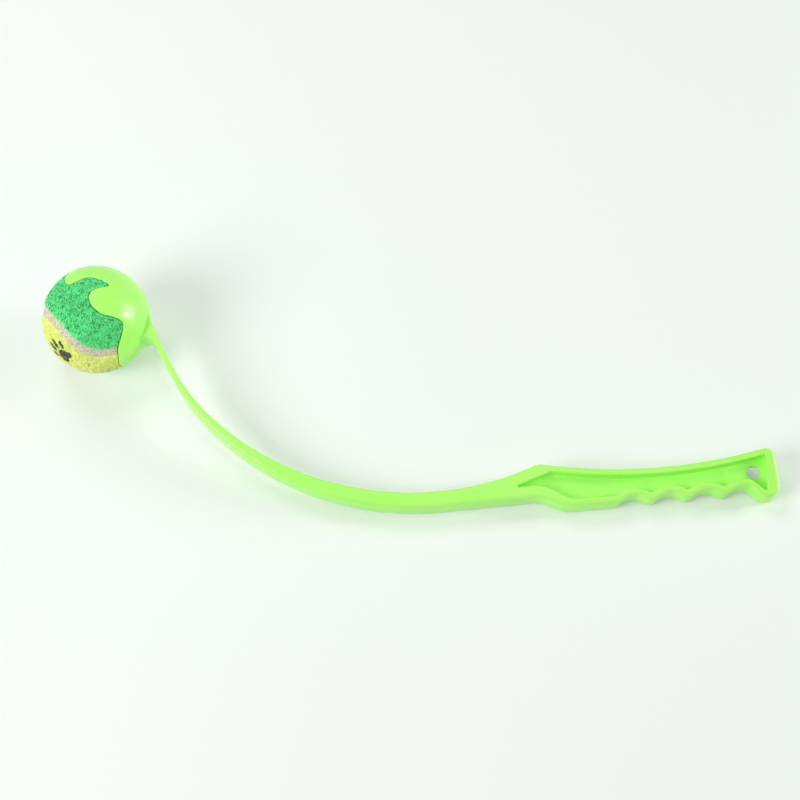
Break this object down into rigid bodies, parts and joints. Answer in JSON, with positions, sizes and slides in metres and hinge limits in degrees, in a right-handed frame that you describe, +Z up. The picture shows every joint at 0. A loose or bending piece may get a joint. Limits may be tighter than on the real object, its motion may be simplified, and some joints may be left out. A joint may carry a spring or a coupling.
{
  "type": "dog ball launcher",
  "caption": "Curved plastic throwing stick with a recessed, finger-grooved handle, a springy neck and a clawed cup that grips a felt-covered rubber ball.",
  "frame": {"origin": "middle of the box round the launcher as it lies on a table, at the table's surface", "axes": "+X from the ball to the handle's butt, +Y from the handle's finger grooves to its back, +Z up from the table"},
  "size_m": [0.4339, 0.1517, 0.0651],
  "materials": {
    "stick": "glossy injection-moulded lime green plastic",
    "core": "matt rubber",
    "felt_green": "napped felt",
    "felt_yellow": "napped felt",
    "seam": "matt rubber cement"
  },
  "bodies": {
    "handle": {"grip_handle": "stick", "curved_shaft": "stick", "flex_neck": "stick"},
    "cup": {"ball_cup": "stick"},
    "ball": {"core_half_a": "core", "core_half_b": "core", "felt_green": "felt_green", "felt_yellow": "felt_yellow", "felt_seam": "seam"}
  },
  "joints": [
    {"name": "neck_flex", "type": "hinge", "parent": "handle", "child": "cup", "pos_m": [-0.12136, -0.0152, 0.02047], "axis": [0.0095, -0.1922, 0.9813], "range_deg": [-15, 15], "stiffness_Nm_per_rad": 4, "deforming": ["flex_neck"]},
    {"name": "ball_release", "type": "slide", "parent": "cup", "child": "ball", "axis": [-0.8095, -0.5776, -0.1053], "range_m": [0, 0.04]}
  ]
}
